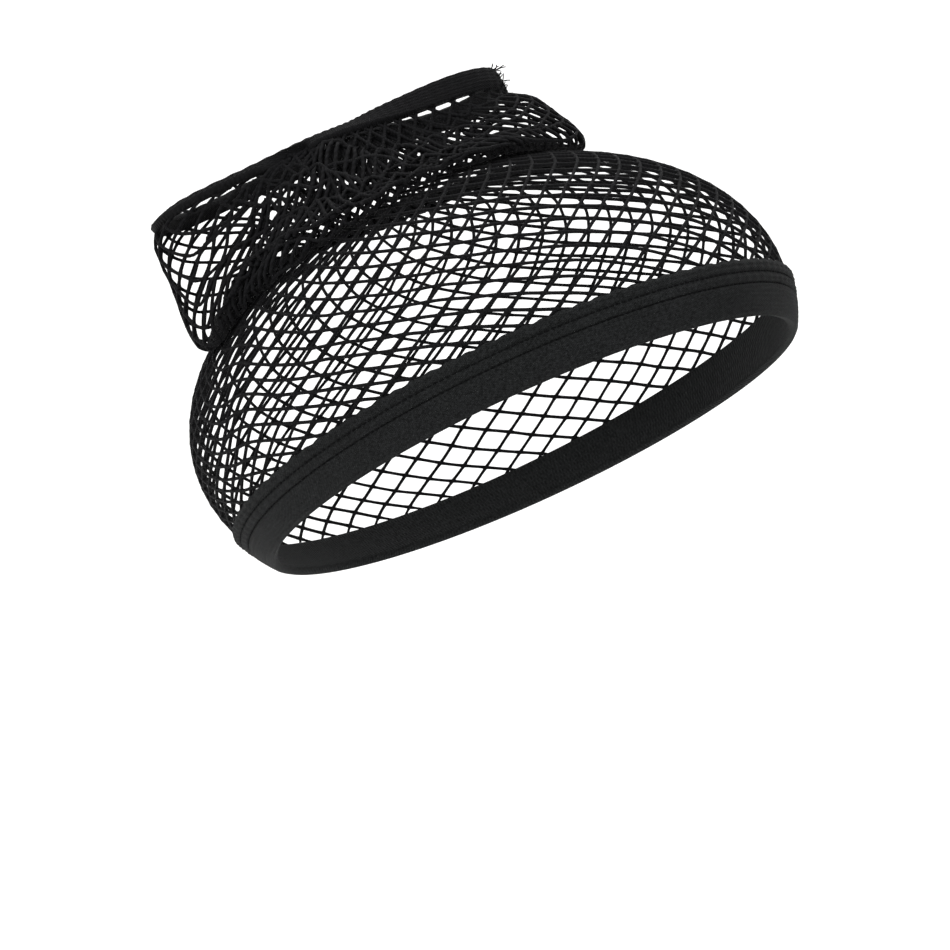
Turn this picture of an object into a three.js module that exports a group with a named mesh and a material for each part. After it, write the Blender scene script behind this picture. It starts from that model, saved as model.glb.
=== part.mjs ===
// A fishnet wig cap in its worn, stretched form: a wide elastic band, a net crown and a narrow elastic mouth.
// Millimetres and degrees. +Z is up on an upright wearer, -Y is the forehead and -X the wearer's right side.
// The origin is the middle of the head opening, on the plane of the band's lower edge.

import * as THREE from "three";

// The crown form is the leaning dome that the worn cap is stretched over, and the inner faces lie on it. Its
// widest section is parallel to the opening.
const crownWidth = 162;
const crownLength = 200;
const crownHeight = 61.5; // from the widest section up to the top
const crownLean = 13; // how far back the top lies from over the widest section's middle
const openingDrop = 26; // from the widest section down to the opening
const bandTilt = 30; // the forehead side of the opening is higher than the nape side

// Head band
const bandWidth = 16;
const bandWall = 2.7;
const seamLap = 5; // how far the band's upper edge reaches down over the net
const stitchLines = [9.4, 12.6]; // heights of the two sewn lines over the band's lower edge
const stitchDepth = 0.6;
const stitchHalfWidth = 0.7;
const edgeBevel = 0.5;

// Net
const netWall = 1.2;
const netCord = 6.8; // width of a bar of the net
const fullestBars = 0.45; // most of a small gap's half width that its bars take up
const netColumns = 13;
const crownRows = 6; // rows of knots from the band to the mouth's root
const collarRows = 2; // rows of knots from the root to the elastic
const crownSteps = 2; // straight steps in one bar
const collarSteps = 5;
const hemSteps = 4; // straight steps in one column of the hem in the band
const rimSteps = 8; // the same at the mouth's elastic
const seamGap = 0.3; // clearance between the net and both elastics

// Mouth: a long oval on the crown, drawn up into a collar that is pushed out into a pocket at both ends
const mouthLongTurn = -40; // turn of its long axis from the forehead, positive towards the wearer's right
const mouthHalfLength = 56;
const mouthHalfWidth = 36;
const mouthBack = 12; // from the cap's axis back to the mouth's middle, along the long axis
const mouthNear = 12; // from the cap's axis to the mouth's middle, along the short axis
const rimRise = 15; // height of the rim's plane over the top of the crown form
const collarHeight = 40; // unit of the drops in the collar table
const shoulderShare = 0.55; // part of the collar's rows below its shoulder
const rootPull = 1.2; // how stiffly the net keeps its lean, against 1 for an even curve
const elasticWidth = 7;
const elasticWall = 2.6;
const elasticLap = 2.5; // how far the elastic reaches down over the net

// One row for each pocket and fold round the mouth. `at` is the angle round it: 0 is the front pocket, 90 the
// wearer's right and 165 the back pocket. Reaches (root, shoulder, rim) are shares of the mouth's half length
// and half width, and drops are shares of collarHeight below the rim's plane. Lean turns the net outwards where
// it leaves the crown, and roll turns the rim's elastic inwards, in degrees.
const collarTable = [
  { at: 0, root: 1.03, lean: 25, shoulder: 0.96, shoulderDrop: 0.2, rim: 0.79, rimDrop: 0, roll: 15 },
  { at: 32, root: 1.04, lean: 25, shoulder: 0.95, shoulderDrop: 0.3, rim: 0.8, rimDrop: 0, roll: 0 },
  { at: 62, root: 1.05, lean: 25, shoulder: 0.86, shoulderDrop: 0.48, rim: 0.6, rimDrop: 0, roll: 30 },
  { at: 90, root: 1.12, lean: 40, shoulder: 0.94, shoulderDrop: 0.56, rim: 0.52, rimDrop: -0.02, roll: 60 },
  { at: 118, root: 1.07, lean: 30, shoulder: 0.86, shoulderDrop: 0.52, rim: 0.6, rimDrop: -0.03, roll: 70 },
  { at: 140, root: 1.03, lean: 10, shoulder: 0.91, shoulderDrop: 0.48, rim: 0.84, rimDrop: 0, roll: 75 },
  { at: 163, root: 1.14, lean: 30, shoulder: 1.21, shoulderDrop: 0.48, rim: 1.13, rimDrop: 0, roll: 70 },
  { at: 190, root: 1.13, lean: 30, shoulder: 1.2, shoulderDrop: 0.45, rim: 1.15, rimDrop: -0.04, roll: 65 },
  { at: 225, root: 1.02, lean: 15, shoulder: 0.96, shoulderDrop: 0.4, rim: 0.82, rimDrop: -0.16, roll: 60 },
  { at: 270, root: 0.96, lean: 10, shoulder: 0.84, shoulderDrop: 0.44, rim: 0.58, rimDrop: -0.16, roll: 50 },
  { at: 320, root: 1.02, lean: 15, shoulder: 0.94, shoulderDrop: 0.4, rim: 0.72, rimDrop: -0.04, roll: 30 },
];

const radians = THREE.MathUtils.degToRad;
const degrees = THREE.MathUtils.radToDeg;
const clamp = THREE.MathUtils.clamp;
const fullTurn = 2 * Math.PI;
const vector = (x, y, z) => new THREE.Vector3(x, y, z);

// Cap frame: its axis stands square on the opening.
const capAxis = vector(0, Math.sin(radians(bandTilt)), Math.cos(radians(bandTilt)));
const frontAxis = vector(0, -capAxis.z, capAxis.y);
const rightAxis = vector(-1, 0, 0);

// Crown form: the unit sphere, stretched to the width, length and height and sheared back by the lean. Every
// circle round the sphere's pole becomes an oval in a plane parallel to the opening.
const halfWidth = crownWidth / 2;
const halfLength = crownLength / 2;
const topStep = capAxis.clone().multiplyScalar(crownHeight).addScaledVector(frontAxis, -crownLean);
const formCentre = topStep.clone().multiplyScalar(openingDrop / crownHeight);
const shear = crownLean / (halfLength * crownHeight);
const openingPolar = Math.acos(-openingDrop / crownHeight);

// Direction at an angle from the pole and a turn from the forehead, positive towards the wearer's right.
function sphereDirection(polar, turn) {
  return vector(Math.sin(polar) * Math.sin(turn), Math.sin(polar) * Math.cos(turn), Math.cos(polar));
}

// Step from the form's centre, taken back to the unit sphere.
function toSphere(step) {
  const up = step.dot(capAxis);
  return vector(step.dot(rightAxis) / halfWidth, step.dot(frontAxis) / halfLength + up * shear, up / crownHeight);
}

function formNormal(direction) {
  return rightAxis.clone().multiplyScalar(direction.x / halfWidth)
    .addScaledVector(frontAxis, direction.y / halfLength)
    .addScaledVector(capAxis, direction.y * shear + direction.z / crownHeight)
    .normalize();
}

// Point of the crown form in a direction, moved outwards by `lift`.
function formPoint(direction, lift = 0) {
  return formCentre.clone()
    .addScaledVector(rightAxis, direction.x * halfWidth)
    .addScaledVector(frontAxis, direction.y * halfLength)
    .addScaledVector(topStep, direction.z)
    .addScaledVector(formNormal(direction), lift);
}

// Angle from the pole at a height along the form over the opening's edge.
function polarAtHeight(height, turn) {
  const step = 0.01;
  const edge = formPoint(sphereDirection(openingPolar, turn));
  const above = formPoint(sphereDirection(openingPolar - step, turn));
  return openingPolar - (height * step) / edge.distanceTo(above);
}

function bandPoint(turn, height, lift) {
  return formPoint(sphereDirection(polarAtHeight(height, turn), turn), lift);
}

// Mouth frame. The rim's plane is parallel to the opening.
const longTurn = radians(mouthLongTurn);
const longAxis = frontAxis.clone().multiplyScalar(Math.cos(longTurn)).addScaledVector(rightAxis, Math.sin(longTurn));
const nearAxis = longAxis.clone().cross(capAxis);
const rimLevel = openingDrop + crownHeight + rimRise;
const mouthMiddle = longAxis.clone().multiplyScalar(-mouthBack).addScaledVector(nearAxis, mouthNear);
const mouthEvenness = (mouthHalfLength - mouthHalfWidth) / (mouthHalfLength + mouthHalfWidth) / 2;

// Angle round the mouth for a turn. The columns stand evenly along the oval.
function mouthAngle(turn) {
  const angle = turn - longTurn;
  return angle + mouthEvenness * Math.sin(2 * angle);
}

// In-plane step from the mouth's middle at an angle and a reach.
function mouthReach(angle, reach) {
  return longAxis.clone().multiplyScalar(reach * mouthHalfLength * Math.cos(angle))
    .addScaledVector(nearAxis, reach * mouthHalfWidth * Math.sin(angle));
}

// Value of a column of the collar table at an angle, on a smooth closed curve through its rows.
function collarValue(column, angle) {
  const count = collarTable.length;
  const at = THREE.MathUtils.euclideanModulo(degrees(angle), 360);
  const row = (i) => collarTable[(i + count) % count];
  const place = (i) => row(i).at + 360 * Math.floor(i / count);
  const slope = (i) => (row(i + 1)[column] - row(i - 1)[column]) / (place(i + 1) - place(i - 1));
  const k = collarTable.findLastIndex((entry) => entry.at <= at);
  const span = place(k + 1) - place(k);
  const s = (at - place(k)) / span;
  return hermite(s, row(k)[column], row(k + 1)[column], slope(k) * span, slope(k + 1) * span);
}

// Cubic from a to b with given slopes at its two ends.
function hermite(s, a, b, slopeA, slopeB) {
  const rise = s * s * (3 - 2 * s);
  return a + (b - a) * rise + slopeA * s * (1 - s) * (1 - s) - slopeB * s * s * (1 - s);
}

// Direction on the sphere of the point of the crown form under a place in the mouth's plane.
function directionUnder(reach) {
  const start = toSphere(mouthMiddle.clone().add(reach).sub(formCentre));
  const along = toSphere(capAxis);
  const half = start.dot(along);
  const inside = half * half - along.lengthSq() * (start.lengthSq() - 1);
  return start.addScaledVector(along, (Math.sqrt(Math.max(inside, 0)) - half) / along.lengthSq()).normalize();
}

// The net's middle surface. From rise 0 to 1 it lies on the form, from its hem in the band to the mouth's root.
const netBase = netWall / 2;
const hemHeight = bandWidth - seamLap + seamGap;

function crownPoint(turn, share) {
  const angle = mouthAngle(turn);
  const from = sphereDirection(polarAtHeight(hemHeight, turn), turn);
  const to = directionUnder(mouthReach(angle, collarValue("root", angle)));
  const arc = from.angleTo(to);
  const direction = from.multiplyScalar(Math.sin((1 - share) * arc) / Math.sin(arc))
    .addScaledVector(to, Math.sin(share * arc) / Math.sin(arc));
  return formPoint(direction, netBase);
}

// Direction in which the rim's elastic stands.
function rimDirection(angle) {
  const outwards = mouthReach(angle, 1).normalize();
  const roll = radians(collarValue("roll", angle));
  return capAxis.clone().multiplyScalar(Math.cos(roll)).addScaledVector(outwards, -Math.sin(roll));
}

// From rise 1 to 2 the net leaves the form and runs over the collar's shoulder to the rim.
function collarPoint(turn, share) {
  const angle = mouthAngle(turn);
  const value = (column) => collarValue(column, angle);
  const overCrown = (reach, drop) => mouthMiddle.clone().add(mouthReach(angle, reach))
    .addScaledVector(capAxis, rimLevel - drop * collarHeight);
  const root = crownPoint(turn, 1);
  const shoulder = overCrown(value("shoulder"), value("shoulderDrop"));
  const rim = overCrown(value("rim"), value("rimDrop"));
  const rootDirection = directionUnder(mouthReach(angle, value("root")));
  const outwards = crownPoint(turn, 0.98).sub(root).normalize();
  const lean = radians(value("lean"));
  const leaving = formNormal(rootDirection).multiplyScalar(Math.cos(lean))
    .addScaledVector(outwards, Math.sin(lean));
  const passing = rim.clone().sub(root).normalize();
  return share < shoulderShare
    ? curvePoint(share / shoulderShare, root, shoulder, leaving, passing, rootPull)
    : curvePoint((share - shoulderShare) / (1 - shoulderShare), shoulder, rim, passing, rimDirection(angle), 1);
}

// Cubic curve from a to b with given headings at its two ends.
function curvePoint(s, a, b, headingA, headingB, pull) {
  const length = a.distanceTo(b);
  const part = (name) => hermite(s, a[name], b[name], headingA[name] * length * pull, headingB[name] * length);
  return vector(part("x"), part("y"), part("z"));
}

function netMiddle(turn, rise) {
  return rise <= 1 ? crownPoint(turn, rise) : collarPoint(turn, rise - 1);
}

// The net's surface moved along its outward normal.
function netPoint(turn, rise, lift) {
  const step = 1e-3;
  const round = netMiddle(turn + step, rise).sub(netMiddle(turn - step, rise));
  const up = netMiddle(turn, Math.min(rise + step, 2)).sub(netMiddle(turn, rise - step));
  return netMiddle(turn, rise).addScaledVector(up.cross(round).normalize(), lift);
}

// Point of the mouth's elastic: `along` is measured upwards from the net's edge, below it on the net.
function elasticPoint(turn, along, lift) {
  const step = 0.02;
  const share = (-along * step) / netMiddle(turn, 2).distanceTo(netMiddle(turn, 2 - step));
  return along <= 0
    ? netPoint(turn, 2 - share, lift)
    : netPoint(turn, 2, lift).addScaledVector(rimDirection(mouthAngle(turn)), along);
}

// A mesh that is put together from numbered points, each made once.
class Surface {
  constructor() {
    this.points = [];
    this.faces = [];
    this.known = new Map();
  }

  point(key, make) {
    if (!this.known.has(key)) {
      this.known.set(key, this.points.length);
      this.points.push(make());
    }
    return this.known.get(key);
  }

  quad(a, b, c, d) {
    this.faces.push(a, b, c, a, c, d);
  }

  geometry() {
    const geometry = new THREE.BufferGeometry();
    const positions = this.points.flatMap((p) => p.toArray());
    geometry.setAttribute("position", new THREE.Float32BufferAttribute(positions, 3));
    geometry.setIndex(this.faces);
    geometry.computeVertexNormals();
    return geometry;
  }
}

// A closed ring with a section given as [along, lift] pairs, inner lower corner first and outer side next.
function ringGeometry(section, segments, place) {
  const surface = new Surface();
  const corner = (i, k) => surface.point(`${i % segments}:${k % section.length}`,
    () => place(((i % segments) * fullTurn) / segments, ...section[k % section.length]));
  for (let i = 0; i < segments; i++) {
    for (let k = 0; k < section.length; k++) {
      surface.quad(corner(i, k), corner(i, k + 1), corner(i + 1, k + 1), corner(i + 1, k));
    }
  }
  return surface.geometry();
}

function bandGeometry() {
  const rebate = netWall + seamGap;
  const grooves = stitchLines.flatMap((height) => [
    [height - stitchHalfWidth, bandWall],
    [height, bandWall - stitchDepth],
    [height + stitchHalfWidth, bandWall],
  ]);
  const section = [
    [0, 0],
    [0, bandWall - edgeBevel],
    [edgeBevel, bandWall],
    ...grooves,
    [bandWidth - edgeBevel, bandWall],
    [bandWidth, bandWall - edgeBevel],
    [bandWidth, rebate],
    [bandWidth - seamLap, rebate],
    [bandWidth - seamLap, 0],
  ];
  return ringGeometry(section, netColumns * hemSteps, bandPoint);
}

function elasticGeometry() {
  const outside = elasticWall - netBase;
  const rebate = netBase + seamGap;
  const top = elasticWidth - elasticLap;
  const section = [
    [-elasticLap, rebate],
    [-elasticLap, outside],
    [top, outside],
    [top, -netBase],
    [seamGap, -netBase],
    [seamGap, rebate],
  ];
  return ringGeometry(section, netColumns * rimSteps, elasticPoint);
}

// The net: a frame of bars round each gap, with a plain hem below and above. Neighbouring frames share the
// middle line of the bar between them, so that together they are one closed body. One row of knots lies on the
// mouth's root, where the net folds.
function netGeometry() {
  const hemRise = (seamLap - seamGap) / crownPoint(0, 0).distanceTo(crownPoint(0, 0.1)) / 10;
  const topRise = 2 - elasticLap / collarPoint(0, 1).distanceTo(collarPoint(0, 0.9)) / 10;
  const rows = crownRows + collarRows;
  const riseAt = (row) => {
    if (row < 0) return 0;
    if (row > rows) return 2;
    return row <= crownRows
      ? hemRise + ((1 - hemRise) * row) / crownRows
      : 1 + ((topRise - 1) * (row - crownRows)) / collarRows;
  };
  const surface = new Surface();
  const place = ([column, row], side) => netPoint((column * fullTurn) / netColumns, riseAt(row), side * netBase);
  const cut = 240; // parts of a column or row that tell two points of the net apart
  const shared = (spot, side) => {
    const column = THREE.MathUtils.euclideanModulo(Math.round(spot[0] * cut), netColumns * cut);
    return surface.point(`${column}:${Math.round(spot[1] * cut)}:${side}`, () => place(spot, side));
  };
  const mix = (a, b, s) => [a[0] + (b[0] - a[0]) * s, a[1] + (b[1] - a[1]) * s];

  // A frame round one gap, with its corners named clockwise as seen from outside.
  function frame(name, corners) {
    const count = corners.length;
    const middle = [0, 1].map((axis) => corners.reduce((sum, corner) => sum + corner[axis] / count, 0));
    const centre = place(middle, 0);
    const spots = corners.map((corner) => place(corner, 0));
    const arms = spots.map((spot) => spot.clone().sub(centre));
    const girth = spots.reduce((sum, spot, i) => sum + spot.distanceTo(spots[(i + 1) % count]), 0);
    const area = arms.reduce((sum, arm, i) => sum + arm.clone().cross(arms[(i + 1) % count]).length() / 2, 0);
    const holeShare = 1 - Math.min((netCord / 2) / ((2 * area) / girth), fullestBars);
    const line = corners.flatMap((corner, i) => {
      const end = corners[(i + 1) % count];
      const [low, high] = [corner[1], end[1]].sort((a, b) => a - b);
      const levelSteps = low === 0 ? hemSteps : rimSteps;
      const barSteps = high > crownRows ? collarSteps : crownSteps;
      const steps = low === high ? levelSteps : barSteps;
      return Array.from({ length: steps }, (_, s) => mix(corner, end, s / steps));
    });
    const [outer, under] = [1, -1].map((side) => line.map((spot) => shared(spot, side)));
    const [outerHole, underHole] = [1, -1].map((side) => line.map((spot, i) => surface.point(
      `${name}:${i}:${side}`, () => place(mix(middle, spot, holeShare), side))));
    line.forEach((spot, i) => {
      const j = (i + 1) % line.length;
      surface.quad(outer[i], outerHole[i], outerHole[j], outer[j]);
      surface.quad(under[i], under[j], underHole[j], underHole[i]);
      surface.quad(outerHole[i], underHole[i], underHole[j], outerHole[j]);
      const level = spot[1] === line[j][1];
      if (!level) return;
      const beyond = spot[1] === 0 ? -1 : rows + 1;
      const hem = [1, -1].map((side) => [spot, line[j]].map(([column]) => shared([column, beyond], side)));
      surface.quad(outer[i], outer[j], hem[0][1], hem[0][0]);
      surface.quad(under[i], hem[1][0], hem[1][1], under[j]);
      surface.quad(hem[0][0], hem[0][1], hem[1][1], hem[1][0]);
    });
  }

  for (let column = 0; column < netColumns; column++) {
    frame(`hem${column}`, [[column, 0], [column + 1, 0], [column + 0.5, 1]]);
    for (let row = 1; row < rows; row++) {
      const x = column + (row % 2 ? 0 : 0.5);
      frame(`gap${column}:${row}`, [[x, row - 1], [x + 0.5, row], [x, row + 1], [x - 0.5, row]]);
    }
    const x = column + (rows % 2 ? 0.5 : 0);
    frame(`top${column}`, [[x, rows], [x + 0.5, rows - 1], [x + 1, rows]]);
  }
  return surface.geometry();
}

function piece(name, geometry, color, roughness) {
  const mesh = new THREE.Mesh(geometry, new THREE.MeshStandardMaterial({ color, roughness, metalness: 0 }));
  mesh.name = name;
  return mesh;
}

const wigCap = new THREE.Group();
wigCap.add(piece("head_band", bandGeometry(), 0x1c1c1e, 0.85));
wigCap.add(piece("crown_net", netGeometry(), 0x0c0c0d, 0.8));
wigCap.add(piece("mouth_elastic", elasticGeometry(), 0x161617, 0.85));

export default wigCap;
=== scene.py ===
# %% [markdown]
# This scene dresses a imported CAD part, a fishnet wig cap in its worn form. The real cap is a tube of knotted
# net with a wide elastic band at one end and a narrow elastic at the other. The band sits round a head, and
# the small mouth is pulled up and out at both ends.

# %% Load the frame
import math

import bpy
import numpy as np
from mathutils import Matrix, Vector


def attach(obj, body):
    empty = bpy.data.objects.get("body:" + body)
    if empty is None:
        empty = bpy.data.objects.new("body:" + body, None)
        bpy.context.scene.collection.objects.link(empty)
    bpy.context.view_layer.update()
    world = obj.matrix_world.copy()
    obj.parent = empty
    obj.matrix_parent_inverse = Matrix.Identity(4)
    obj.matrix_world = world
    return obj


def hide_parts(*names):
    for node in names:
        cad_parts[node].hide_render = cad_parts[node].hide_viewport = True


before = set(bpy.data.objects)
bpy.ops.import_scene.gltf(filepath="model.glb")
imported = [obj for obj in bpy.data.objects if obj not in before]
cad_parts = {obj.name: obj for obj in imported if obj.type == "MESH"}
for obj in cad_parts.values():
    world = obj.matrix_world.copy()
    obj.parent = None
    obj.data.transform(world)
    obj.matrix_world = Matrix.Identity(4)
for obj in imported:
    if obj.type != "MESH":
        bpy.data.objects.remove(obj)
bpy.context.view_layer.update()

# %% [markdown]
# The shapes are worked out in millimetres and turned into metres when a mesh is made. The crown form is the
# leaning dome that the cap is stretched over, and these sizes are the CAD part's own, so that every piece lies
# where its solid does.

# %% Sizes of the crown form and the mouth
MM = 0.001
crown_width = 162
crown_length = 200
crown_height = 61.5
crown_lean = 13
opening_drop = 26
band_tilt = math.radians(30)

band_width = 16
band_wall = 2.7
net_wall = 1.2
net_base = net_wall / 2
hem_height = 9

mouth_long_turn = math.radians(-40)
mouth_half_length = 56
mouth_half_width = 36
mouth_back = 12
mouth_near = 12
near_spread = 0.25              # how far the columns move apart between the two pockets, in radians
rim_rise = 15
collar_height = 40

# %% [markdown]
# One table says how the collar runs round the mouth. Each row is an angle: 0 is the front pocket, 90 the
# wearer's right and 165 the back pocket. Reaches are shares of the mouth's half sizes and drops are shares of
# the collar's height. The last three columns are for the loose net: how far it is tucked in under its own fold,
# as a share of the reach, how deep that fold is in millimetres, and how much slack there is over it, 0 to 1.
# Between the two pockets the slack is high, and the net there is a dark wall in many layers: partly real folded
# net, and partly painted shade, since its layers are made denser to stand in for shadow.

# %% The collar table
collar_columns = (
    "at", "root", "shoulder", "shoulder_drop", "rim", "rim_drop", "roll", "tuck", "fold", "slack",
)
collar_rows = np.array([
    (0, 1.05, 0.96, 0.2, 0.79, 0, 15, 0.22, 2, 0.15),
    (32, 1.06, 0.95, 0.3, 0.8, 0, 0, 0.26, 3, 0.4),
    (62, 1.07, 0.86, 0.48, 0.6, 0, 30, 0.3, 6, 0.85),
    (90, 1.12, 0.94, 0.56, 0.52, -0.02, 60, 0.33, 8, 1),
    (118, 1.07, 0.86, 0.52, 0.6, -0.03, 70, 0.33, 8, 1),
    (140, 1.03, 0.91, 0.48, 0.84, 0, 75, 0.28, 6, 0.7),
    (163, 1.14, 1.21, 0.48, 1.13, 0, 70, 0.2, 3, 0.1),
    (190, 1.13, 1.2, 0.45, 1.15, -0.04, 65, 0.16, 2.5, 0),
    (225, 1.02, 0.96, 0.4, 0.82, -0.16, 60, 0.12, 2, 0.05),
    (270, 0.96, 0.84, 0.44, 0.58, -0.16, 50, 0.12, 2, 0.1),
    (320, 1.02, 0.94, 0.4, 0.72, -0.04, 30, 0.14, 2, 0.05),
])


def collar_value(column, angle):
    """A column of the collar table at each angle: between two rows a cubic, whose slope at a row is the slope
    from the row before it to the row after it."""
    at = collar_rows[:, 0]
    values = collar_rows[:, collar_columns.index(column)]
    at = np.concatenate([at[-1:] - 360, at, at[:2] + 360])
    values = np.concatenate([values[-1:], values, values[:2]])
    slopes = np.empty_like(values)
    slopes[1:-1] = (values[2:] - values[:-2]) / (at[2:] - at[:-2])
    slopes[0] = slopes[-3]
    slopes[-1] = slopes[2]
    turn = np.degrees(angle) % 360
    k = np.clip(np.searchsorted(at, turn, side="right") - 1, 0, len(at) - 2)
    span = at[k + 1] - at[k]
    s = (turn - at[k]) / span
    return cubic(s, values[k], values[k + 1], slopes[k] * span, slopes[k + 1] * span)


def cubic(s, a, b, slope_a, slope_b):
    """Cubic from a to b: a + (b - a)(3s^2 - 2s^3) + slope_a s(1 - s)^2 - slope_b s^2(1 - s)."""
    return a + (b - a) * s * s * (3 - 2 * s) + slope_a * s * (1 - s) ** 2 - slope_b * s * s * (1 - s)


# %% [markdown]
# The crown form is a unit sphere that is stretched to the width, the length and the height and sheared back.
# A direction on the sphere is an angle from the pole and a turn from the forehead, so a whole grid of turns and
# angles becomes a grid of points in one step. Blender itself isn't needed for this: numpy does it at once.

# %% The crown form
cap_axis = np.array([0, math.sin(band_tilt), math.cos(band_tilt)])
front_axis = np.array([0, -cap_axis[2], cap_axis[1]])
right_axis = np.array([-1.0, 0, 0])
half_width = crown_width / 2
half_length = crown_length / 2
top_step = cap_axis * crown_height - front_axis * crown_lean
form_centre = top_step * opening_drop / crown_height
shear = crown_lean / (half_length * crown_height)
opening_polar = math.acos(-opening_drop / crown_height)
print("half sizes of the opening:", half_width * math.sin(opening_polar), half_length * math.sin(opening_polar))


def unit(v):
    """A vector divided by its length."""
    return v / np.linalg.norm(v, axis=-1, keepdims=True)


def sphere_direction(polar, turn):
    """(sin polar sin turn, sin polar cos turn, cos polar)."""
    polar, turn = np.broadcast_arrays(polar, turn)
    return np.stack([np.sin(polar) * np.sin(turn), np.sin(polar) * np.cos(turn), np.cos(polar)], -1)


def form_normal(d):
    """Outward normal of the stretched and sheared sphere: the direction divided by the half sizes."""
    up = d[..., 1:2] * shear + d[..., 2:3] / crown_height
    return unit(right_axis * d[..., 0:1] / half_width + front_axis * d[..., 1:2] / half_length + cap_axis * up)


def form_point(d, lift=0.0):
    """The centre plus the direction times the half sizes, moved out along the normal by lift."""
    lift = np.broadcast_to(lift, d.shape[:-1])[..., None]
    flat = right_axis * d[..., 0:1] * half_width + front_axis * d[..., 1:2] * half_length
    return form_centre + flat + top_step * d[..., 2:3] + form_normal(d) * lift


def polar_at_height(height, turn):
    """Angle from the pole at a height over the opening's edge, measured along the form."""
    step = 0.01
    edge = form_point(sphere_direction(opening_polar, turn))
    above = form_point(sphere_direction(opening_polar - step, turn))
    return opening_polar - height * step / np.linalg.norm(edge - above, axis=-1)


def band_point(turn, height, lift):
    """Point of the head band at a turn, a height over its lower edge and a lift off the form."""
    return form_point(sphere_direction(polar_at_height(height, turn), turn), lift)


# %% [markdown]
# The mouth is a long oval over the crown. Its points are found in a plane parallel to the opening and then
# dropped on to the form along the cap's axis.

# %% The mouth
long_axis = front_axis * math.cos(mouth_long_turn) + right_axis * math.sin(mouth_long_turn)
near_axis = np.cross(long_axis, cap_axis)
rim_level = opening_drop + crown_height + rim_rise
mouth_middle = -long_axis * mouth_back + near_axis * mouth_near
evenness = (mouth_half_length - mouth_half_width) / (mouth_half_length + mouth_half_width) / 2


def mouth_angle(turn):
    """Angle round the mouth for a turn: evened out along the oval, with the columns further apart on the
    wearer's right, where the net is stretched between the two pockets."""
    angle = turn - mouth_long_turn
    return angle + evenness * np.sin(2 * angle) - near_spread * np.cos(angle)


def mouth_reach(angle, reach):
    """Step from the mouth's middle: reach times the oval's point at that angle."""
    angle, reach = np.broadcast_arrays(angle, reach)
    return (long_axis * (reach * mouth_half_length * np.cos(angle))[..., None]
            + near_axis * (reach * mouth_half_width * np.sin(angle))[..., None])


def to_sphere(step):
    """A step from the form's centre, taken back to the unit sphere."""
    up = step @ cap_axis
    return np.stack([step @ right_axis / half_width, step @ front_axis / half_length + up * shear,
                     up / crown_height], -1)


def direction_under(reach):
    """Where the line along the cap's axis through a point of the mouth's plane leaves the sphere."""
    start = to_sphere(mouth_middle + reach - form_centre)
    along = to_sphere(cap_axis)
    half = start @ along
    inside = half ** 2 - along @ along * (np.sum(start * start, -1) - 1)
    way = (np.sqrt(np.maximum(inside, 0)) - half) / (along @ along)
    return unit(start + way[..., None] * along)


def rim_direction(angle):
    """Where the rim's elastic points: the cap's axis, rolled inwards by the table's roll."""
    roll = np.radians(collar_value("roll", angle))[..., None]
    return cap_axis * np.cos(roll) - unit(mouth_reach(angle, 1.0)) * np.sin(roll)


# %% [markdown]
# The net's middle surface has two parameters. The turn runs round the cap and the rise runs from the hem in
# the band, 0, over the mouth's root, 1, up to the rim, 2. Below the root the net lies on the form. Above it, it
# goes up, back down to a hanging edge and then up the collar's wall, over the shoulder to the rim.

# %% The crown's net
crest_lift = 1.0
droop_lift = 2.0


def root_reach(angle):
    """Reach of the line where the net leaves the form, tucked in under the fold."""
    return collar_value("root", angle) - collar_value("tuck", angle)


def crown_point(turn, share):
    """On the arc of the sphere from the hem to the mouth's root: the start times sin (1 - share) arc plus the
    end times sin share arc, both over sin arc."""
    angle = mouth_angle(turn)
    start = sphere_direction(polar_at_height(hem_height, turn), turn)
    end = direction_under(mouth_reach(angle, root_reach(angle)))
    arc = np.arccos(np.clip(np.sum(start * end, -1), -1, 1))
    low, high = np.sin((1 - share) * arc) / np.sin(arc), np.sin(share * arc) / np.sin(arc)
    return form_point(unit(start * low[..., None] + end * high[..., None]), net_base)


# %% [markdown]
# Slack net doesn't stand up, it sinks into pleats that hang over each other. Along the wall of the collar the
# way up is therefore not even: it swings forwards and back, so that the net rises, falls and rises again, while
# it drifts inwards so that the layers lie behind each other and never cross.

# %% The collar's net
# The pleats' count and swing are set high, so the layered black net between the two pockets also stands in for
# shadow: partly real folds, partly painted shade.
pleats = 4
pleat_swing = 0.2
pleat_drift = 4.2               # millimetres off the wall, out at the lowest pleat and in at the highest
slow_wander = 1.3               # how far the pleats' phase wanders twice and five times round the mouth
quick_wander = 0.5
drift_ways = (0, 0.12, 0.88, 1)
drift_shares = (0, 1, -0.8, 0)
tuck_share = 0.3                # part of the collar's rises below its hanging edge


def pleated(way, angle):
    """Height along the wall, way plus slack times the swing of a sine wave, and the lift off the wall. The
    wave's phase wanders round the mouth, so the pleats run a little aslant."""
    slack = collar_value("slack", angle)
    phase = slow_wander * np.sin(2 * angle + 0.6) + quick_wander * np.sin(5 * angle)
    wave = np.sin(math.tau * pleats * way + phase) - np.sin(phase)
    drift = np.interp(way, drift_ways, drift_shares)
    return np.clip(way + slack * pleat_swing * wave, 0.02 * slack, 1), slack * pleat_drift * drift


def wall_point(angle, way, edge, shoulder, rim):
    """Two cubic pieces, from the hanging edge to the shoulder and on to the rim, with the pleats on them."""
    out = unit(mouth_reach(angle, 1.0))
    passing = unit(rim - edge)
    height, lift = pleated(way, angle)
    across = unit(out - passing * np.sum(out * passing, -1, keepdims=True))
    low = np.clip(height / 0.5, 0, 1)[..., None]
    high = np.clip((height - 0.5) / 0.5, 0, 1)[..., None]
    first = np.linalg.norm(shoulder - edge, axis=-1, keepdims=True)
    second = np.linalg.norm(rim - shoulder, axis=-1, keepdims=True)
    lower = cubic(low, edge, shoulder, 0.7 * out * first, passing * first)
    upper = cubic(high, shoulder, rim, passing * second, rim_direction(angle) * second)
    return np.where((height < 0.5)[..., None], lower, upper) + across * lift[..., None]


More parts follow.
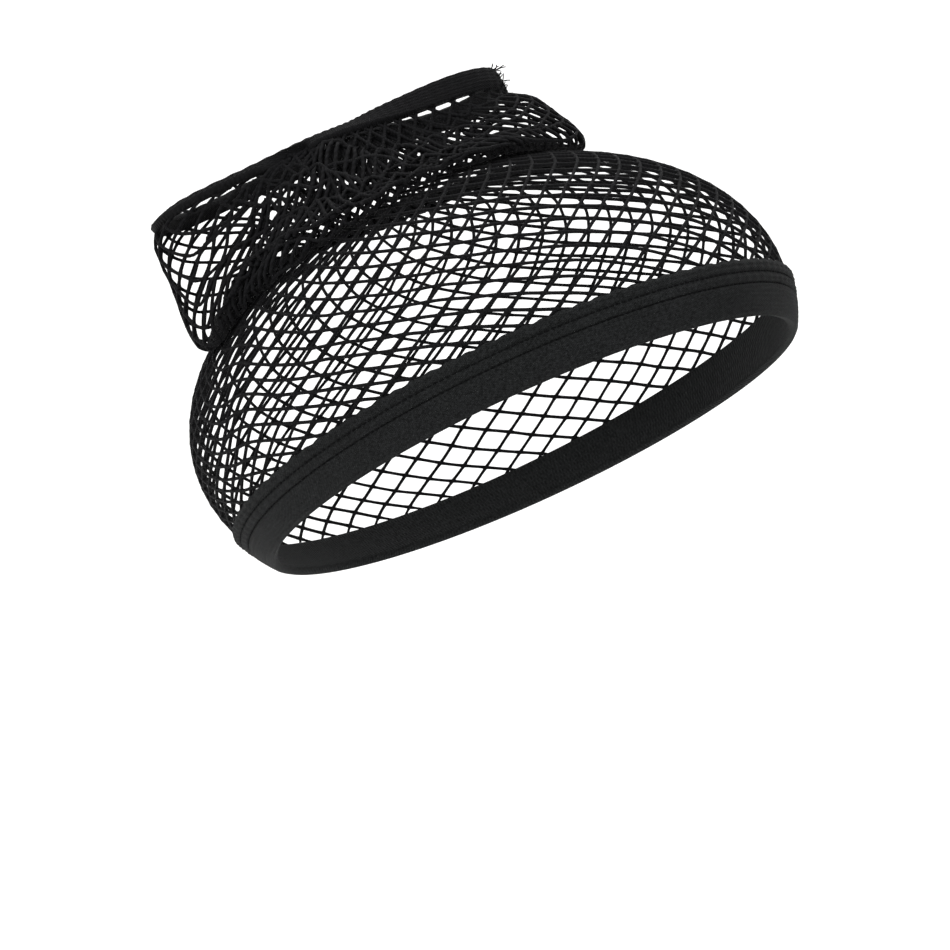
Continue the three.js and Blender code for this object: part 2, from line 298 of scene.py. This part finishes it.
def collar_point(turn, share):
    """From the root up to the fold's crest and down to the hanging edge, as two cubic pieces, then the wall."""
    angle = mouth_angle(turn)

    def over_crown(reach, drop):
        height = (rim_level - drop * collar_height)[..., None]
        return mouth_middle + mouth_reach(angle, reach) + cap_axis * height

    def on_crown(reach, lift):
        return form_point(direction_under(mouth_reach(angle, reach)), net_base + lift)

    root_at, edge_at = root_reach(angle), collar_value("root", angle)
    root = on_crown(root_at, 0.0)
    crest = on_crown(root_at + 0.35 * (edge_at - root_at), crest_lift + collar_value("fold", angle))
    edge = on_crown(edge_at, droop_lift)
    shoulder = over_crown(collar_value("shoulder", angle), collar_value("shoulder_drop", angle))
    rim = over_crown(collar_value("rim", angle), collar_value("rim_drop", angle))
    out = unit(edge - root)
    leaving = form_normal(direction_under(mouth_reach(angle, root_at)))
    rising = np.linalg.norm(crest - root, axis=-1, keepdims=True)
    falling = np.linalg.norm(edge - crest, axis=-1, keepdims=True)
    s = np.clip(share / (0.5 * tuck_share), 0, 1)[..., None]
    up = cubic(s, root, crest, leaving * rising, 0.6 * out * rising)
    s = np.clip(share / (0.5 * tuck_share) - 1, 0, 1)[..., None]
    down = cubic(s, crest, edge, 0.8 * out * falling, 0.8 * out * falling)
    wall = wall_point(angle, np.clip((share - tuck_share) / (1 - tuck_share), 0, 1), edge, shoulder, rim)
    folded = np.where((share < 0.5 * tuck_share)[..., None], up, down)
    return np.where((share < tuck_share)[..., None], folded, wall)


def net_middle(turn, rise):
    """The crown's part up to rise 1 and the collar's part above it."""
    turn, rise = np.broadcast_arrays(np.asarray(turn, float), np.asarray(rise, float))
    low = crown_point(turn, np.minimum(rise, 1))
    high = collar_point(turn, np.maximum(rise - 1, 0))
    return np.where((rise <= 1)[..., None], low, high)


print("rim middle:", mouth_middle + cap_axis * rim_level)

# %% [markdown]
# A fishnet's threads are all of one length between two knots. Where the net is wide its rows lie close
# together, and where it narrows they stretch apart. So the rows on the crown are set by that rule: each row
# climbs the height of a right triangle whose long side is the thread and whose short side is half a column. The
# same number of rows stands at every turn, in the crown and in the collar.

# %% Rows of the net by the one-thread rule
net_columns = 50
crown_rows = 26
# The collar's close rows also deepen the dark pleated wall between the pockets, partly as painted shade.
collar_row_count = 33
net_rows = crown_rows + collar_row_count
strand = 6.2
fold_rows = 4                   # extra rows that lie in the fold under the two pockets, to one row elsewhere
steps = 4                       # straight steps in one thread between two knots
turns = np.arange(net_columns * 2 * steps) * math.tau / (net_columns * 2 * steps)


def even_rises(low, high, count, by_thread):
    """Rises of rows between two rises at each turn. Rows are counted along the surface, by its length or by
    the one-thread rule, and the count is shared out evenly."""
    fine = np.linspace(low, high, 401)
    points = net_middle(turns[:, None], fine[None, :])
    climb = np.linalg.norm(np.diff(points, axis=1), axis=-1)
    if not by_thread:
        folded = (fine[1:] - low < tuck_share) * (1 - collar_value("slack", mouth_angle(turns))[:, None])
        climb = climb * (1 + fold_rows * folded)
    else:
        half = np.linalg.norm(np.roll(points, -steps, 0) - np.roll(points, steps, 0), axis=-1) / 2
        climb = climb / np.sqrt(strand ** 2 - np.minimum(half[:, 1:], 0.9 * strand) ** 2)
    counted = np.concatenate([np.zeros((len(turns), 1)), np.cumsum(climb, axis=1)], 1)
    most, least = counted[:, -1].max(), counted[:, -1].min()
    print("from rise", low, "to", high, "least", least.round(1), "most", most.round(1))
    spots = np.linspace(0, 1, count * steps + 1)
    return np.stack([np.interp(spots, line / line[-1], fine) for line in counted])


crown_rises = even_rises(0, 1, crown_rows, True)
collar_rises = even_rises(1.0001, 2, collar_row_count, False)
rises = np.concatenate([crown_rises, collar_rises[:, 1:]], 1)

# %% [markdown]
# The loose part of the collar isn't smooth. Soft wrinkles run over it between the two pulled ends, and each
# knot is a little off its place, as in hand-stretched net. Both are small steps, largest in the middle of the
# collar and nothing at the hem and the rim. Between the two steps, a few passes of smoothing along each column
# round off the pleats, because cord doesn't bend sharply.

# %% The net's grid of points
dice = np.random.default_rng(7)
smoothing_passes = 6
knot_passes = 16
firm_shake = 0.14               # millimetres that a knot is off its place, and the same in slack net
slack_shake = 0.5


def soft_noise(rough, passes):
    """Noise smoothed both ways: each pass is the mean of a point and its neighbours."""
    for _ in range(passes):
        rough = (rough + np.roll(rough, 1, 0) + np.roll(rough, -1, 0)) / 3
        padded = np.concatenate([rough[:, :1], rough, rough[:, -1:]], 1)
        rough = (padded[:, :-2] + padded[:, 1:-1] + padded[:, 2:]) / 3
    return rough / rough.std()


grid = net_middle(turns[:, None], rises)
normal = unit(np.cross(np.gradient(grid, axis=1), np.roll(grid, -1, 0) - np.roll(grid, 1, 0)))
loose = np.clip((rises - 1.25) / 0.2, 0, 1) * np.clip((1.99 - rises) / 0.2, 0, 1)
slack = collar_value("slack", mouth_angle(turns))[:, None]
wrinkle = (np.sin(19 * (rises - 1) + 3 * np.sin(turns[:, None] * 2 + 1)) * 0.6
           + np.sin(11 * turns[:, None] + 12 * (rises - 1)) * 0.7)
grid = grid + normal * (loose * slack * wrinkle)[..., None]
for _ in range(smoothing_passes):
    middle = (grid[:, :-2] + 2 * grid[:, 1:-1] + grid[:, 2:]) / 4
    grid[:, 1:-1] += (middle - grid[:, 1:-1]) * loose[:, 1:-1, None]
round_step = unit(np.roll(grid, -1, 0) - np.roll(grid, 1, 0))
up_step = unit(np.cross(round_step, normal))
held = np.clip(rises / 0.08, 0, 1) * np.clip((2 - rises) / 0.1, 0, 1)
shake = held * (firm_shake + slack_shake * loose * slack)
for direction in (round_step, up_step):
    grid = grid + direction * (shake * soft_noise(dice.normal(size=rises.shape), knot_passes))[..., None]
print("net grid:", grid.shape)

# %% [markdown]
# A mesh is made from whole arrays. Points go in as one flat list, and faces as corner numbers. A grid that is
# closed both ways makes the band and the ribbon, and rings of points along lines make tubes. The corners get a
# UV map named weave that runs once round and once across, because every fabric pattern here follows the cloth.

# %% Mesh helpers
def make_piece(name, points, faces, uv, slot, replaced=None):
    """One mesh object from points in millimetres, four-cornered faces and a UV for each corner."""
    mesh = bpy.data.meshes.new(name)
    mesh.vertices.add(len(points))
    mesh.vertices.foreach_set("co", (points * MM).astype(np.float32).ravel())
    mesh.loops.add(faces.size)
    mesh.loops.foreach_set("vertex_index", faces.astype(np.int32).ravel())
    mesh.polygons.add(len(faces))
    mesh.polygons.foreach_set("loop_start", np.arange(0, faces.size, 4, dtype=np.int32))
    mesh.polygons.foreach_set("use_smooth", np.ones(len(faces), bool))
    layer = mesh.uv_layers.new(name="weave")
    layer.data.foreach_set("uv", uv.astype(np.float32).ravel())
    mesh.update(calc_edges=True)
    mesh.validate()
    piece = bpy.data.objects.new(name, mesh)
    bpy.context.scene.collection.objects.link(piece)
    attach(piece, "root")
    if replaced:
        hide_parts(replaced)
    print(name, "points", len(points), "triangles", 2 * len(faces))
    return piece


def closed_grid(points):
    """Faces and UVs of a grid that is closed both ways. The second way runs clockwise, as seen along the
    first."""
    n, m = points.shape[:2]
    i, k = np.meshgrid(np.arange(n), np.arange(m), indexing="ij")
    corners = [(i, k), (i, k + 1), (i + 1, k + 1), (i + 1, k)]
    faces = np.stack([(a % n) * m + b % m for a, b in corners], -1).reshape(-1, 4)
    uv = np.stack([np.stack([a / n, b / m], -1) for a, b in corners], -2).reshape(-1, 2)
    return points.reshape(-1, 3), faces, uv


def tubes(centres, normals, radii, sides=6):
    """Closed tubes round many lines at once: each centre plus radius (cos a side + sin a up), with two
    four-cornered faces over each end."""
    lines, count = centres.shape[:2]
    tangent = unit(np.gradient(centres, axis=1))
    side = unit(np.cross(tangent, normals))
    up = np.cross(side, tangent)
    a = np.arange(sides) * math.tau / sides
    ring = side[..., None, :] * np.cos(a)[:, None] + up[..., None, :] * np.sin(a)[:, None]
    points = centres[..., None, :] + ring * radii[..., None, None]
    number = np.arange(lines * count * sides).reshape(lines, count, sides)
    turned = np.roll(number, -1, 2)
    faces = np.stack([number[:, :-1], number[:, 1:], turned[:, 1:], turned[:, :-1]], -1).reshape(-1, 4)
    j, k = np.meshgrid(np.arange(count - 1), np.arange(sides), indexing="ij")
    uv = np.stack([np.stack([(k + dk) / sides, (j + dj) / (count - 1)], -1)
                   for dk, dj in ((0, 0), (0, 1), (1, 1), (1, 0))], -2)
    uv = np.broadcast_to(uv, (lines,) + uv.shape).reshape(-1, 2)
    half = sides // 2
    ends = []
    for ring_number, order in ((number[:, 0], 1), (number[:, -1], -1)):
        for first in range(0, sides - 2, 2):
            corners = [0, first + 1, first + 2, first + 3]
            ends.append(ring_number[:, [c % sides for c in corners]][:, ::order])
    ends = np.concatenate(ends)
    faces = np.concatenate([faces, ends])
    uv = np.concatenate([uv, np.zeros((ends.size, 2))])
    return points.reshape(-1, 3), faces, uv


def joined(parts):
    """Several meshes as one: their points, their faces with the numbers moved on, and their UVs."""
    starts = np.cumsum([0] + [len(points) for points, faces, uv in parts])
    return (np.concatenate([points for points, faces, uv in parts]),
            np.concatenate([faces + start for start, (points, faces, uv) in zip(starts, parts)]),
            np.concatenate([uv for points, faces, uv in parts]))


# %% [markdown]
# Each thread of the net runs from the hem to the rim on a slant, half of them to the left and half to the
# right, so a thread is a diagonal through the grid. It is thickest at the knots, where it crosses another.
# Curve objects could draw this too, but tubes made as one array stay light and exact.

# %% Threads of the net
cord_radius = 0.52
knot_swell = 0.25
slack_swell = 0.25              # cord that isn't stretched is fatter
hem_lift = 0.6                  # the threads' ends lie between the band's two faces
rows_in_band = 2
band_squeeze = 0.2


def strands(first_row, last_row, slant):
    """Centres, normals and radii of all threads with one slant between two rows: column index plus or minus
    the row index."""
    rows = np.arange(first_row * steps, last_row * steps + 1)
    column = np.arange(net_columns) * 2 * steps
    at = (column[:, None] + slant * rows[None, :]) % len(turns)
    centres = grid[at, rows]
    in_band = rows < rows_in_band * steps
    swell = np.cos(rows * math.pi / steps) ** 8 * ~in_band
    fatter = slack_swell * (slack * loose)[at, rows]
    radii = cord_radius * (1 + knot_swell * swell - band_squeeze * in_band + fatter)
    lift = hem_lift * np.clip(1 - rows / ((rows_in_band + 1) * steps), 0, 1)
    return centres + normal[at, rows] * lift[:, None], normal[at, rows], radii


def net_piece(name, first_row, last_row, replaced=None):
    """Both slants of the threads between two rows as one mesh."""
    parts = [tubes(*strands(first_row, last_row, slant)) for slant in (1, -1)]
    return make_piece(name, *joined(parts), "net_cord", replaced)


crown_threads = net_piece("crown_threads", 0, crown_rows, "crown_net")
collar_threads = net_piece("collar_threads", crown_rows, net_rows)

# %% [markdown]
# The head band is a knitted elastic, sewn down along two lines near its upper edge. Its section is a closed
# profile of height and lift, and the profile is carried round the opening. The fine ribs that run along it, the
# sewn grooves, a slight pucker between the stitches and the scalloped edge are part of the profile.

# %% Head band
band_segments = 480
rib_pitch = 1.25
stitch_lines = (9.4, 12.6)
groove_depth = 0.6
rib_depth = 0.09
scallop_depth = 0.25            # the upper edge waves a little, twice in each column of the net
scallop_start = 13.5


def band_lift(height, turn):
    """Lift of the band's outer face: the wall, less each sewn groove, plus ribs and the pucker of the edge."""
    groove = sum(groove_depth * np.exp(-((height - line) / 0.5) ** 2) for line in stitch_lines)
    ribs = rib_depth * np.cos(math.tau * height / rib_pitch)
    pucker = 0.12 * np.sin(turn * 120) * np.clip((height - 8.5) / 2, 0, 1)
    rounding = 0.5 * (np.exp(-height / 0.45) + np.exp(-(band_width - height) / 0.45))
    return band_wall - groove + ribs + pucker - rounding


turn = np.arange(band_segments)[:, None] * math.tau / band_segments
outer_heights = np.linspace(0, band_width, 77)
inner_heights = np.linspace(band_width, 0, 9)
edge_share = np.clip((outer_heights - scallop_start) / (band_width - scallop_start), 0, 1)
scallop = scallop_depth * (1 + np.cos(turn * 2 * net_columns)) * edge_share
outer = band_point(turn, outer_heights + scallop, band_lift(outer_heights[None, :], turn))
inner = band_point(turn, inner_heights[None, :], np.full((1, len(inner_heights)), 0.05))
head_band_cloth = make_piece("head_band_cloth", *closed_grid(np.concatenate([outer, inner], 1)), "band_elastic",
                             "head_band")

# %% [markdown]
# The sewing thread shows as rows of short stitches in the two grooves. Each stitch is a small closed tube of a
# few dozen faces, and all of them are one mesh.

# %% Stitches
stitch_pitch = 2
stitch_radius = 0.2
band_girth = 565
stitch_count = int(band_girth / stitch_pitch)


def on_band(at, line, lift):
    """Point over the floor of a sewn groove."""
    return band_point(at, line, band_lift(np.full(at.shape, line), at) + lift)


def stitches(line):
    """Stitches in one groove: each is a short tube that rises in its middle and dips at both ends."""
    spots = np.linspace(-0.36, 0.36, 5)
    at = (np.arange(stitch_count)[:, None] + spots[None, :]) * math.tau / stitch_count
    lift = 0.22 - 2.2 * spots ** 2
    centres = on_band(at, line, np.broadcast_to(lift, at.shape))
    normals = on_band(at, line, np.broadcast_to(lift + 1, at.shape)) - centres
    return tubes(centres, unit(normals), np.full(at.shape, stitch_radius), 4)


band_stitches = make_piece("band_stitches", *joined([stitches(line) for line in stitch_lines]), "band_elastic")

# %% [markdown]
# The mouth's elastic is a narrow ribbon on the net's upper edge. It follows the rim and leans with it, and
# that lean is why it looks thin at one end of the mouth and broad at the other.

# %% Mouth elastic
elastic_width = 7
elastic_wall = 2.6
elastic_lap = 2.5
rim_edge = net_middle(turns, 1.998)
rim_top = net_middle(turns, 2.0)
rim_up = rim_direction(mouth_angle(turns))
rim_round = np.roll(rim_top, -1, 0) - np.roll(rim_top, 1, 0)
rim_out = unit(np.cross(rim_up, rim_round))
rim_below = unit(rim_edge - rim_top)


def elastic_point(along, lift):
    """Rim point plus along times the rim's direction, or back down the net where along is negative, plus lift
    times the outward normal."""
    step = np.where(along >= 0, along, 0)[..., None] * rim_up[:, None] + np.where(
        along < 0, -along, 0)[..., None] * rim_below[:, None]
    return rim_top[:, None] + step + lift[..., None] * rim_out[:, None]


elastic_top = elastic_width - elastic_lap
outer_along = np.linspace(-elastic_lap, elastic_top, 29)
outer_lift = (elastic_wall - net_base + 0.1 * np.cos(math.tau * outer_along / 1.1)
              - 0.4 * np.exp(-(outer_along + elastic_lap) / 0.3)
              - 0.4 * np.exp(-(elastic_top - outer_along) / 0.3))
inner_along = np.linspace(elastic_top, -elastic_lap, 9)
inner_lift = np.full(9, -net_base)
section_size = len(outer_along) + len(inner_along)
section_along = np.broadcast_to(np.concatenate([outer_along, inner_along]), (len(turns), section_size))
on_outside = np.arange(section_size) < len(outer_along)
ridges = 0.12 * np.sin(np.arange(len(turns)) * math.tau / 5)[:, None] * on_outside
section_lift = np.concatenate([outer_lift, inner_lift]) + ridges
elastic_grid = elastic_point(section_along, section_lift)
mouth_elastic_cloth = make_piece("mouth_elastic_cloth", *closed_grid(elastic_grid), "mouth_elastic",
                                 "mouth_elastic")

# %% [markdown]
# The elastic is cut and sewn together at its front end, and the cut shows as a tuft of short loose threads.
# Each is a fine tube that leaves the ribbon's edge and bends a little as it goes.

# %% Frayed ends
fray_count = 22
fray_length = 3.2
fray_radius = 0.16
cut_angle = math.radians(14)
front_tip = int(np.argmax(np.cos(mouth_angle(turns) - cut_angle)))


def frayed(count):
    """Lines that start on the ribbon's end at a random height and run outwards: start + way s + bend s^2."""
    spot = (front_tip + dice.integers(-3, 4, count)) % len(turns)
    along = dice.uniform(-elastic_lap, elastic_top, count)[:, None]
    start = rim_top[spot] + rim_up[spot] * along + rim_out[spot] * dice.uniform(0, 1.6, (count, 1))
    way = unit(long_axis * 0.9 + cap_axis * 0.35 + dice.normal(size=(count, 3)) * 0.35)
    bend = dice.normal(size=(count, 3)) * 0.3
    s = np.linspace(-0.2, 1, 7)[:, None]
    length = fray_length * dice.uniform(0.4, 1, (count, 1, 1))
    lines = start[:, None] + length * (way[:, None] * s + bend[:, None] * s * np.abs(s))
    normals = np.broadcast_to(near_axis, lines.shape)
    return lines, normals, np.full(lines.shape[:2], fray_radius)


frayed_ends = make_piece("frayed_ends", *tubes(*frayed(fray_count), 4), "mouth_elastic")

# %% [markdown]
# Shader maths is written as Python expressions. This small class wraps one socket of a material's node tree.
# Adding, taking away and multiplying it adds Math nodes, and any other node comes from one method.

# %% Shader helper
class Value:
    """One output socket of a node tree."""

    def __init__(self, finish, socket):
        self.finish = finish
        self.socket = socket

    def maths(self, operation, a, b=0.0):
        return self.finish.node("ShaderNodeMath", {"operation": operation}, {0: a, 1: b})

    def __add__(self, other):
        return self.maths("ADD", self, other)

    def __sub__(self, other):
        return self.maths("SUBTRACT", self, other)

    def __rsub__(self, other):
        return self.maths("SUBTRACT", other, self)

    def __mul__(self, other):
        return self.maths("MULTIPLY", self, other)

    def sine(self):
        return self.maths("SINE", self)

    __radd__ = __add__
    __rmul__ = __mul__


class Finish:
    """A material that is built node by node."""

    def __init__(self, name):
        self.material = bpy.data.materials.new(name)
        self.material.use_nodes = True
        self.tree = self.material.node_tree
        self.tree.nodes.clear()

    def node(self, kind, settings=None, inputs=None, output=0):
        """Adds a node, first its settings and then the values or links of its sockets."""
        made = self.tree.nodes.new(kind)
        for key, value in (settings or {}).items():
            setattr(made, key, value)
        for key, value in (inputs or {}).items():
            if isinstance(value, Value):
                self.tree.links.new(value.socket, made.inputs[key])
            else:
                made.inputs[key].default_value = value
        return Value(self, made.outputs[output]) if made.outputs else None

    def weave(self):
        """The two UV values of the cloth."""
        uv = self.node("ShaderNodeUVMap", {"uv_map": "weave"})
        return [self.node("ShaderNodeSeparateXYZ", inputs={0: uv}, output=way) for way in (0, 1)]

    def place(self):
        """The point on the object, in metres."""
        return self.node("ShaderNodeTexCoord", output=3)

    def noise(self, scale, detail=2.0, vector=None):
        inputs = {"Vector": vector or self.place(), "Scale": scale, "Detail": detail}
        return self.node("ShaderNodeTexNoise", inputs=inputs)

    def tones(self, factor, low, high):
        """A colour between two, by a factor."""
        return self.node("ShaderNodeMix", {"data_type": "RGBA"}, {0: factor, 6: (*low, 1), 7: (*high, 1)}, 2)

    def close(self, color, roughness, height, depth, sheen, specular=0.3):
        """Joins the colour, the roughness and the bump to the surface shader."""
        bump = self.node("ShaderNodeBump", inputs={"Height": height, "Distance": depth, "Strength": 1.0})
        shader = self.node("ShaderNodeBsdfPrincipled", inputs={
            "Base Color": color, "Roughness": roughness, "Normal": bump,
            "Sheen Weight": sheen, "Sheen Roughness": 0.45, "Specular IOR Level": specular})
        self.node("ShaderNodeOutputMaterial", inputs={"Surface": shader})
        return self.material


def dress(piece, material):
    """Gives a piece its one material."""
    piece.data.materials.clear()
    piece.data.materials.append(material)


# %% [markdown]
# The net's cord is fine twisted nylon, almost black with a dry gloss. The twist is a slanted stripe on the
# thread's own UV map, and a little noise keeps the black from being even.

# %% Cord finish
cord = Finish("net_cord_finish")
u, v = cord.weave()
twist = (v * 900 + u * math.tau).sine() * 0.5 + 0.5
spots = cord.noise(900)
cord_color = cord.tones(twist * 0.5 + spots * 0.5, (0.001, 0.001, 0.0011), (0.005, 0.005, 0.0056))
cord_material = cord.close(cord_color, 0.7 + spots * 0.2, twist, 0.00008, 0.004, 0.06)
dress(crown_threads, cord_material)
dress(collar_threads, cord_material)
print("nodes in the cord's finish:", len(cord.tree.nodes))

# %% [markdown]
# The band is a dark charcoal knit. Under the ribs of its profile lies a finer knit: small loops in rows, drawn
# by two crossed waves on the cloth's own map, with a soft unevenness in tone from wear.

# %% Elastic finishes
def knit_finish(name, round_loops, across_loops, low, high, sheen):
    """Two crossed sine waves for the loops, and noise for the tone."""
    finish = Finish(name)
    u, v = finish.weave()
    loops = (u * (round_loops * math.tau)).sine() * (v * (across_loops * math.tau)).sine()
    patches = finish.noise(60, 4.0)
    fuzz = finish.noise(1300, 3.0)
    color = finish.tones(loops * 0.16 + patches * 0.3 + (fuzz - 0.38) * 1.8, low, high)
    return finish.close(color, 0.8 + fuzz * 0.15, loops * 0.5 + fuzz, 0.00022, sheen, 0.1)


band_material = knit_finish("band_knit", 520, 34, (0.0006, 0.0008, 0.0008), (0.013, 0.0138, 0.0142), 0.01)
elastic_material = knit_finish("elastic_knit", 300, 14, (0.001, 0.001, 0.0012), (0.005, 0.005, 0.0056), 0.008)
dress(head_band_cloth, band_material)
dress(mouth_elastic_cloth, elastic_material)
dress(frayed_ends, cord_material)
dress(band_stitches, cord_material)
print("dressed:", [piece.name for piece in (head_band_cloth, mouth_elastic_cloth, frayed_ends, band_stitches)])

# %% [markdown]
# The setting is a plain pale floor that curves up into a backdrop well behind the cap. The cap is held up over
# it, as a head would hold it. Large soft lights keep the shadows faint.

# %% Floor and backdrop
floor_level = -0.34
floor_near = -3.0
floor_far = 1.8
sweep_radius = 0.9
backdrop_top = 4.0
arc = np.linspace(0, math.pi / 2, 24)
profile = np.concatenate([
    [[floor_near, 0.0]],
    np.stack([floor_far + sweep_radius * np.sin(arc), sweep_radius * (1 - np.cos(arc))], -1),
    [[floor_far + sweep_radius, backdrop_top]],
])
backdrop_turn = math.radians(-50)
away = np.array([-math.sin(backdrop_turn), math.cos(backdrop_turn), 0])
sideways = np.array([away[1], -away[0], 0])
widths = np.linspace(-4, 4, 3)
floor_points = (away[None, None] * profile[:, None, :1] + sideways[None, None] * widths[None, :, None]
                + np.array([0, 0, 1.0])[None, None] * (profile[:, None, 1:] + floor_level))
n, m = floor_points.shape[:2]
i, k = np.meshgrid(np.arange(n - 1), np.arange(m - 1), indexing="ij")
floor_faces = np.stack([i * m + k, i * m + k + 1, (i + 1) * m + k + 1, (i + 1) * m + k], -1).reshape(-1, 4)
floor_mesh = bpy.data.meshes.new("floor")
floor_mesh.from_pydata(floor_points.reshape(-1, 3).tolist(), [], floor_faces.tolist())
floor_mesh.polygons.foreach_set("use_smooth", np.ones(len(floor_faces), bool))
floor = bpy.data.objects.new("floor", floor_mesh)
bpy.context.scene.collection.objects.link(floor)
paper = Finish("paper")
paper_grain = paper.noise(40)
paper_color = paper.tones(paper_grain, (0.86, 0.86, 0.855), (0.9, 0.9, 0.895))
dress(floor, paper.close(paper_color, 0.9 + paper_grain * 0.05, paper_grain, 0.0002, 0.0))
print("floor points:", n * m)

# %% [markdown]
# The light comes from the sky and three big soft panels: one over the camera's left shoulder, one to the
# right, and one from above and behind that draws a faint line of light along the upper threads.

# %% Lights
world = bpy.data.worlds.new("sky")
bpy.context.scene.world = world
world.use_nodes = True
world.node_tree.nodes["Background"].inputs["Color"].default_value = (1, 1, 1, 1)
world.node_tree.nodes["Background"].inputs["Strength"].default_value = 0.9


def look_along(direction):
    """Turn of a lamp or camera whose view runs along a direction."""
    return Vector(direction).to_track_quat("-Z", "Y")


def soft_panel(name, azimuth, elevation, distance, size, power):
    """An area light at an angle round the cap that faces its middle."""
    a, e = math.radians(azimuth), math.radians(elevation)
    place = np.array([math.sin(a) * math.cos(e), -math.cos(a) * math.cos(e), math.sin(e)]) * distance
    data = bpy.data.lights.new(name, "AREA")
    data.size = size
    data.energy = power
    light = bpy.data.objects.new(name, data)
    light.location = place
    light.rotation_mode = "QUATERNION"
    light.rotation_quaternion = look_along(-place)
    bpy.context.scene.collection.objects.link(light)
    print(name, "at", place.round(2), "watts", power)


soft_panel("key_panel", -85, 45, 2.0, 1.2, 40)
soft_panel("fill_panel", 0, 25, 2.2, 1.4, 20)
soft_panel("top_panel", 130, 65, 2.0, 1.2, 30)

# %% [markdown]
# The photograph looks at the cap from the front right of the wearer and a little from above, through a long
# lens. The camera stands there and is aimed so that the cap fills the same part of the picture.

# %% Camera
camera_azimuth = math.radians(-48)
camera_elevation = math.radians(9)
camera_distance = 1.25
lens = 158
back = np.array([math.sin(camera_azimuth) * math.cos(camera_elevation),
                 -math.cos(camera_azimuth) * math.cos(camera_elevation), math.sin(camera_elevation)])
view_right = unit(np.cross(-back, [0, 0, 1.0]))
view_up = np.cross(view_right, -back)
aim_right = -0.0167
aim_up = -0.0086
camera_data = bpy.data.cameras.new("camera")
camera_data.lens = lens
camera_data.sensor_width = 36
camera = bpy.data.objects.new("camera", camera_data)
bpy.context.scene.collection.objects.link(camera)
target = view_right * aim_right + view_up * aim_up
camera.location = target + back * camera_distance
camera.rotation_mode = "QUATERNION"
camera.rotation_quaternion = look_along(-back)
bpy.context.scene.camera = camera
bpy.context.scene.view_settings.view_transform = "Standard"
print("camera at", (target + back * camera_distance).round(3))
